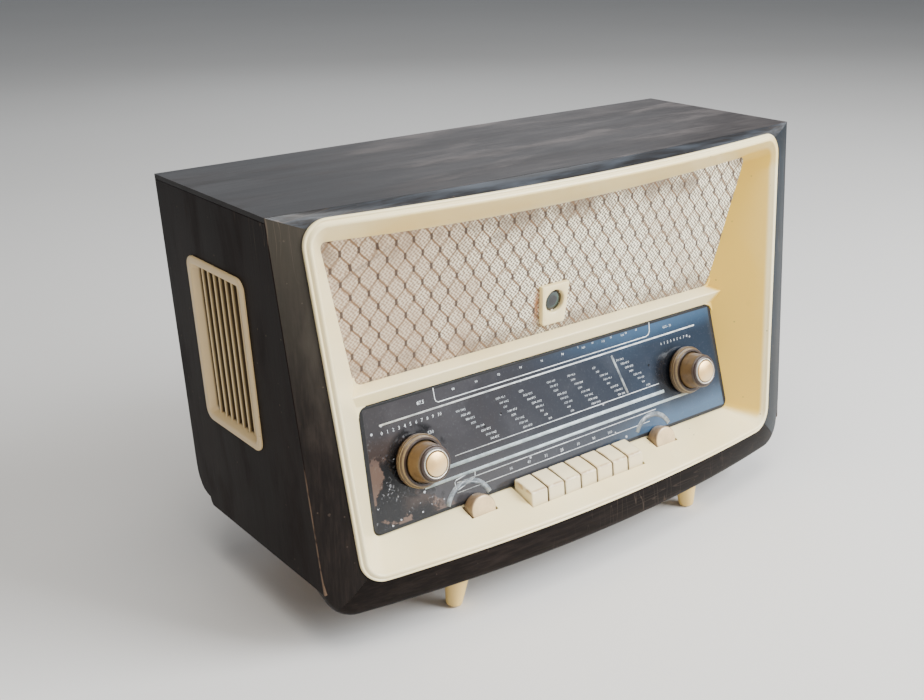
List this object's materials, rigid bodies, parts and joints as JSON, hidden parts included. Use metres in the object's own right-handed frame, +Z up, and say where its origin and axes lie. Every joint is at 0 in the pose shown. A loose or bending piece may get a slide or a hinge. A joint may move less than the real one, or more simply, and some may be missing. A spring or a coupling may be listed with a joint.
{
  "type": "valve table radio",
  "caption": "Mains valve table radio: bowed wooden case, cream fascia, cloth grille, glass dial, concentric knobs, tone knobs and piano keys.",
  "frame": {"origin": "middle of the footprint, on the surface the feet stand on", "axes": "+X to the right of a person facing the set, the front faces -Y, +Z up"},
  "size_m": [0.59, 0.256, 0.369],
  "materials": {
    "dark_lacquer": "worn gloss lacquer over dark-stained veneer",
    "raw_board": "raw chipboard and plywood",
    "cream_plastic": "aged ivory moulding",
    "grille_cloth": "woven cream cloth with brown diamond threads",
    "valve_glass": "clear blown glass",
    "dial_glass": "back-printed glass, dark blue-grey",
    "zinc_steel": "zinc-plated sheet steel",
    "bakelite": "dark phenolic",
    "brown_plastic": "olive-brown moulding",
    "champagne_metal": "spun and anodised, champagne",
    "brass": "turned brass",
    "iron_core": "varnished laminations and ferrite",
    "aluminium_can": "drawn aluminium",
    "ferrite": "dark sintered ferrite",
    "cone_paper": "pressed paper pulp",
    "hardboard": "pressed brown hardboard"
  },
  "bodies": {
    "case": {"top_panel": "dark_lacquer", "bottom_board": "raw_board", "side_panel_left": "dark_lacquer", "side_panel_right": "dark_lacquer", "frame_rail_top": "dark_lacquer", "frame_rail_bottom": "dark_lacquer", "frame_stile_left": "dark_lacquer", "frame_stile_right": "dark_lacquer", "feet": "cream_plastic", "fascia": "cream_plastic", "baffle_board": "raw_board", "grille_cloth": "grille_cloth", "eye_escutcheon": "cream_plastic", "magic_eye": "valve_glass", "dial_glass": "dial_glass", "dial_backplate": "zinc_steel", "cord_pulleys": "bakelite", "potentiometers": "zinc_steel", "key_bracket": "zinc_steel", "key_rod": "zinc_steel", "chassis": "zinc_steel", "mains_transformer": "iron_core", "output_transformer": "iron_core", "power_valves": "valve_glass", "signal_valves": "valve_glass", "valve_sockets": "bakelite", "filter_cans": "aluminium_can", "vhf_tuner": "zinc_steel", "tuning_capacitor": "aluminium_can", "aerial_post": "bakelite", "speaker_baskets": "zinc_steel", "speaker_cones": "cone_paper", "speaker_magnets": "iron_core", "side_grille_left": "cream_plastic", "side_grille_right": "cream_plastic", "rear_cover": "hardboard", "socket_panel": "bakelite", "cover_screws": "brass"},
    "volume": {"volume_knob": "brown_plastic", "volume_cap": "champagne_metal", "volume_shaft": "zinc_steel"},
    "aerial_ring": {"aerial_ring": "brown_plastic"},
    "tuning": {"tuning_knob": "brown_plastic", "tuning_cap": "champagne_metal", "tuning_shaft": "zinc_steel", "flywheel": "brass"},
    "band_ring": {"band_ring": "brown_plastic"},
    "bass": {"bass_knob": "brown_plastic"},
    "treble": {"treble_knob": "brown_plastic"},
    "pointer": {"dial_pointer": "cream_plastic"},
    "drum": {"dial_drum": "bakelite"},
    "rotor": {"capacitor_rotor": "aluminium_can"},
    "ferrite": {"ferrite_rod": "ferrite"},
    "key_1": {"key_1": "cream_plastic"},
    "key_2": {"key_2": "cream_plastic"},
    "key_3": {"key_3": "cream_plastic"},
    "key_4": {"key_4": "cream_plastic"},
    "key_5": {"key_5": "cream_plastic"},
    "key_6": {"key_6": "cream_plastic"},
    "key_7": {"key_7": "cream_plastic"}
  },
  "joints": [
    {"name": "volume_turn", "type": "hinge", "parent": "case", "child": "volume", "pos_m": [-0.1648, -0.0645, 0.1354], "axis": [0, 0.9675, -0.2528], "range_deg": [0, 290]},
    {"name": "aerial_ring_turn", "type": "hinge", "parent": "case", "child": "aerial_ring", "pos_m": [-0.1648, -0.0645, 0.1354], "axis": [0, 0.9675, -0.2528], "range_deg": [-90, 90]},
    {"name": "tuning_turn", "type": "hinge", "parent": "case", "child": "tuning", "pos_m": [0.1648, -0.0645, 0.1354], "axis": [0, 0.9675, -0.2528], "range_deg": [-1440, 1440]},
    {"name": "band_ring_turn", "type": "hinge", "parent": "case", "child": "band_ring", "pos_m": [0.1648, -0.0645, 0.1354], "axis": [0, 0.9675, -0.2528], "range_deg": [-135, 135]},
    {"name": "bass_turn", "type": "hinge", "parent": "case", "child": "bass", "pos_m": [-0.114, -0.07919, 0.07919], "axis": [0, 0.9675, -0.2528], "range_deg": [-135, 135]},
    {"name": "treble_turn", "type": "hinge", "parent": "case", "child": "treble", "pos_m": [0.114, -0.07919, 0.07919], "axis": [0, 0.9675, -0.2528], "range_deg": [-135, 135]},
    {"name": "key_1_press", "type": "hinge", "parent": "case", "child": "key_1", "pos_m": [-0.06, -0.038, 0.0795], "axis": [1, 0, 0], "range_deg": [0, 4], "stiffness_Nm_per_rad": 0.4, "springref_deg": -8.59},
    {"name": "key_2_press", "type": "hinge", "parent": "case", "child": "key_2", "pos_m": [-0.04, -0.038, 0.0795], "axis": [1, 0, 0], "range_deg": [0, 4], "stiffness_Nm_per_rad": 0.4, "springref_deg": -8.59},
    {"name": "key_3_press", "type": "hinge", "parent": "case", "child": "key_3", "pos_m": [-0.02, -0.038, 0.0795], "axis": [1, 0, 0], "range_deg": [0, 4], "stiffness_Nm_per_rad": 0.4, "springref_deg": -8.59},
    {"name": "key_4_press", "type": "hinge", "parent": "case", "child": "key_4", "pos_m": [0, -0.038, 0.0795], "axis": [1, 0, 0], "range_deg": [0, 4], "stiffness_Nm_per_rad": 0.4, "springref_deg": -8.59},
    {"name": "key_5_press", "type": "hinge", "parent": "case", "child": "key_5", "pos_m": [0.02, -0.038, 0.0795], "axis": [1, 0, 0], "range_deg": [0, 4], "stiffness_Nm_per_rad": 0.4, "springref_deg": -8.59},
    {"name": "key_6_press", "type": "hinge", "parent": "case", "child": "key_6", "pos_m": [0.04, -0.038, 0.0795], "axis": [1, 0, 0], "range_deg": [0, 4], "stiffness_Nm_per_rad": 0.4, "springref_deg": -8.59},
    {"name": "key_7_press", "type": "hinge", "parent": "case", "child": "key_7", "pos_m": [0.06, -0.038, 0.0795], "axis": [1, 0, 0], "range_deg": [0, 4], "stiffness_Nm_per_rad": 0.4, "springref_deg": -8.59},
    {"name": "pointer_slide", "type": "slide", "parent": "case", "child": "pointer", "axis": [1, 0, 0], "range_m": [-0.126, 0.126]},
    {"name": "drum_turn", "type": "hinge", "parent": "case", "child": "drum", "pos_m": [0.06, -0.06576, 0.13056], "axis": [0, 0.9675, -0.2528], "range_deg": [-180.5, 180.5]},
    {"name": "rotor_turn", "type": "hinge", "parent": "case", "child": "rotor", "pos_m": [0.06, -0.06576, 0.13056], "axis": [0, 0.9675, -0.2528], "range_deg": [-90.5, 90.5]},
    {"name": "ferrite_turn", "type": "hinge", "parent": "case", "child": "ferrite", "pos_m": [0, 0.045, 0.34], "axis": [0, 0, 1], "range_deg": [-90.5, 90.5]}
  ],
  "couplings": [
    {"joint": "pointer_slide", "follows": "tuning_turn", "m_per_rad": 0.005},
    {"joint": "drum_turn", "follows": "tuning_turn", "ratio": 0.125},
    {"joint": "rotor_turn", "follows": "tuning_turn", "ratio": 0.0625},
    {"joint": "ferrite_turn", "follows": "aerial_ring_turn", "ratio": 1}
  ]
}
